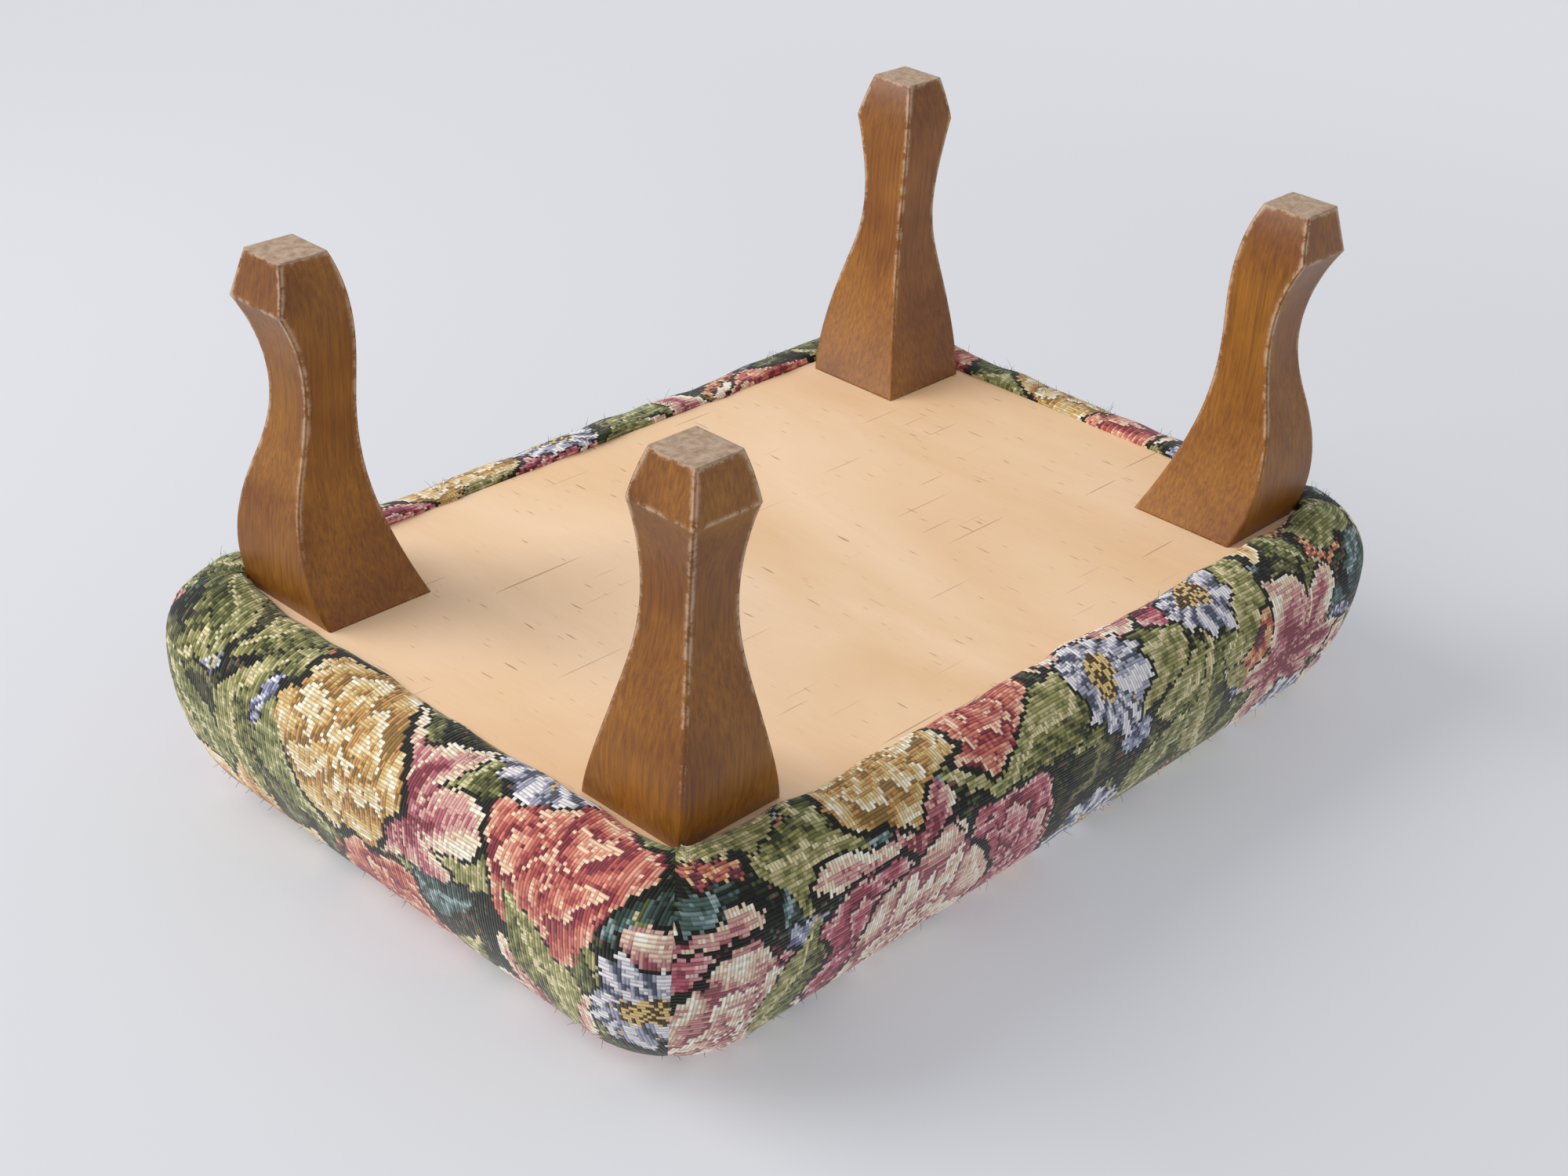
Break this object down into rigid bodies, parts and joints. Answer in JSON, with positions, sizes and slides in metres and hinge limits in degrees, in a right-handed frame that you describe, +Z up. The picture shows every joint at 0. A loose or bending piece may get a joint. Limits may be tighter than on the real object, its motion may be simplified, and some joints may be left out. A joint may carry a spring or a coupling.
{
  "type": "upholstered footstool",
  "caption": "Low rectangular footstool with a padded seat in woven floral tapestry, a plywood underside and shaped square wooden legs.",
  "frame": {"origin": "on the floor, at the centre of the stool between its four feet", "axes": "+X along the length of the stool, +Y towards its back, +Z up"},
  "size_m": [0.432, 0.298, 0.216],
  "materials": {
    "plywood": "bare, sanded",
    "stained_wood": "brown stain under satin lacquer",
    "tapestry": "woven floral tapestry on a black ground",
    "wadding": "soft fibre",
    "foam": "open cell foam",
    "hardboard": "pressed board",
    "pine": "sawn, bare",
    "zinc_steel": "zinc plated",
    "bright_steel": "bright"
  },
  "bodies": {
    "root": {"base_panel": "plywood", "block_back_left": "pine", "block_back_right": "pine", "block_front_left": "pine", "block_front_right": "pine", "block_screws": "zinc_steel", "board_nails": "bright_steel", "cover_staples": "bright_steel", "foam_pad": "foam", "leg_back_left": "stained_wood", "leg_back_right": "stained_wood", "leg_bolts": "zinc_steel", "leg_front_left": "stained_wood", "leg_front_right": "stained_wood", "panel_screws": "zinc_steel", "rail_back": "pine", "rail_front": "pine", "rail_left": "pine", "rail_right": "pine", "seat_board": "hardboard", "seat_cover": "tapestry", "tee_nuts": "zinc_steel", "wadding": "wadding"}
  },
  "joints": []
}
